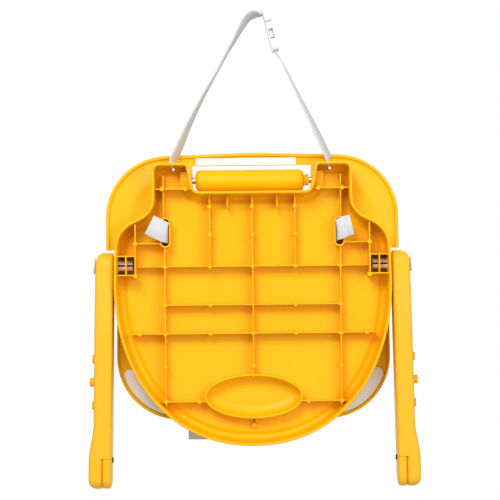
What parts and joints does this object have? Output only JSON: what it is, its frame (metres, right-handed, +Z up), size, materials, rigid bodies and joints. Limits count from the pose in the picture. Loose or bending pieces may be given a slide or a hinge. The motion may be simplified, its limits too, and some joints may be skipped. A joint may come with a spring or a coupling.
{
  "type": "folding toddler booster seat",
  "caption": "Yellow plastic child booster seat folded flat: ribbed tapering base, rear hinged backrest, swinging side arms, waist strap and a white carry strap with side release buckle.",
  "frame": {"origin": "underside of the carry strap at the top of its loop, where a hook bears", "axes": "+X to the right seen from the open underside, +Y from the underside towards the folded backrest, +Z up along the hanging direction"},
  "size_m": [0.4002, 0.078, 0.5807],
  "materials": {
    "yellow_plastic": "satin moulded polypropylene",
    "white_plastic": "moulded acetal",
    "white_webbing": "woven polyester webbing",
    "pad_cover": "soft foam-backed vinyl",
    "zinc_steel": "zinc plated",
    "dark_steel": "black oxide",
    "label_film": "blank adhesive film"
  },
  "bodies": {
    "seat": {"seat_shell": "yellow_plastic", "hinge_rod": "zinc_steel", "hinge_rod_caps": "dark_steel", "hinge_spacer": "yellow_plastic", "arm_pin_left": "white_plastic", "arm_pin_right": "white_plastic", "carry_strap_pins": "zinc_steel", "carry_strap_left": "white_webbing", "carry_strap_right": "white_webbing", "carry_socket": "white_plastic", "waist_strap_left": "white_webbing", "waist_strap_right": "white_webbing", "waist_socket": "white_plastic", "label_film": "label_film"},
    "backrest": {"backrest_shell": "yellow_plastic", "backrest_pad": "pad_cover"},
    "left_arm": {"arm_left": "yellow_plastic", "arm_end_cover_left": "yellow_plastic", "arm_screw_left": "dark_steel"},
    "right_arm": {"arm_right": "yellow_plastic", "arm_end_cover_right": "yellow_plastic", "arm_screw_right": "dark_steel"},
    "carry_tongue": {"carry_tongue": "white_plastic"},
    "waist_tongue": {"waist_tongue": "white_plastic"}
  },
  "joints": [
    {"name": "backrest_hinge", "type": "hinge", "parent": "seat", "child": "backrest", "pos_m": [-0.006, 0.014, -0.2], "axis": [1, 0, 0], "range_deg": [0, 95]},
    {"name": "arm_left_hinge", "type": "hinge", "parent": "seat", "child": "left_arm", "pos_m": [-0.186, 0.001, -0.3025], "axis": [1, 0, 0], "range_deg": [0, 65]},
    {"name": "arm_right_hinge", "type": "hinge", "parent": "seat", "child": "right_arm", "pos_m": [0.174, 0.001, -0.3025], "axis": [1, 0, 0], "range_deg": [0, 65]},
    {"name": "carry_buckle_slide", "type": "slide", "parent": "seat", "child": "carry_tongue", "axis": [-0.2368, 0, 0.9715], "range_m": [0, 0.018], "deforming": ["carry_strap_left"]},
    {"name": "waist_buckle_slide", "type": "slide", "parent": "seat", "child": "waist_tongue", "axis": [-1, 0, 0], "range_m": [0, 0.018], "deforming": ["waist_strap_left"]}
  ]
}
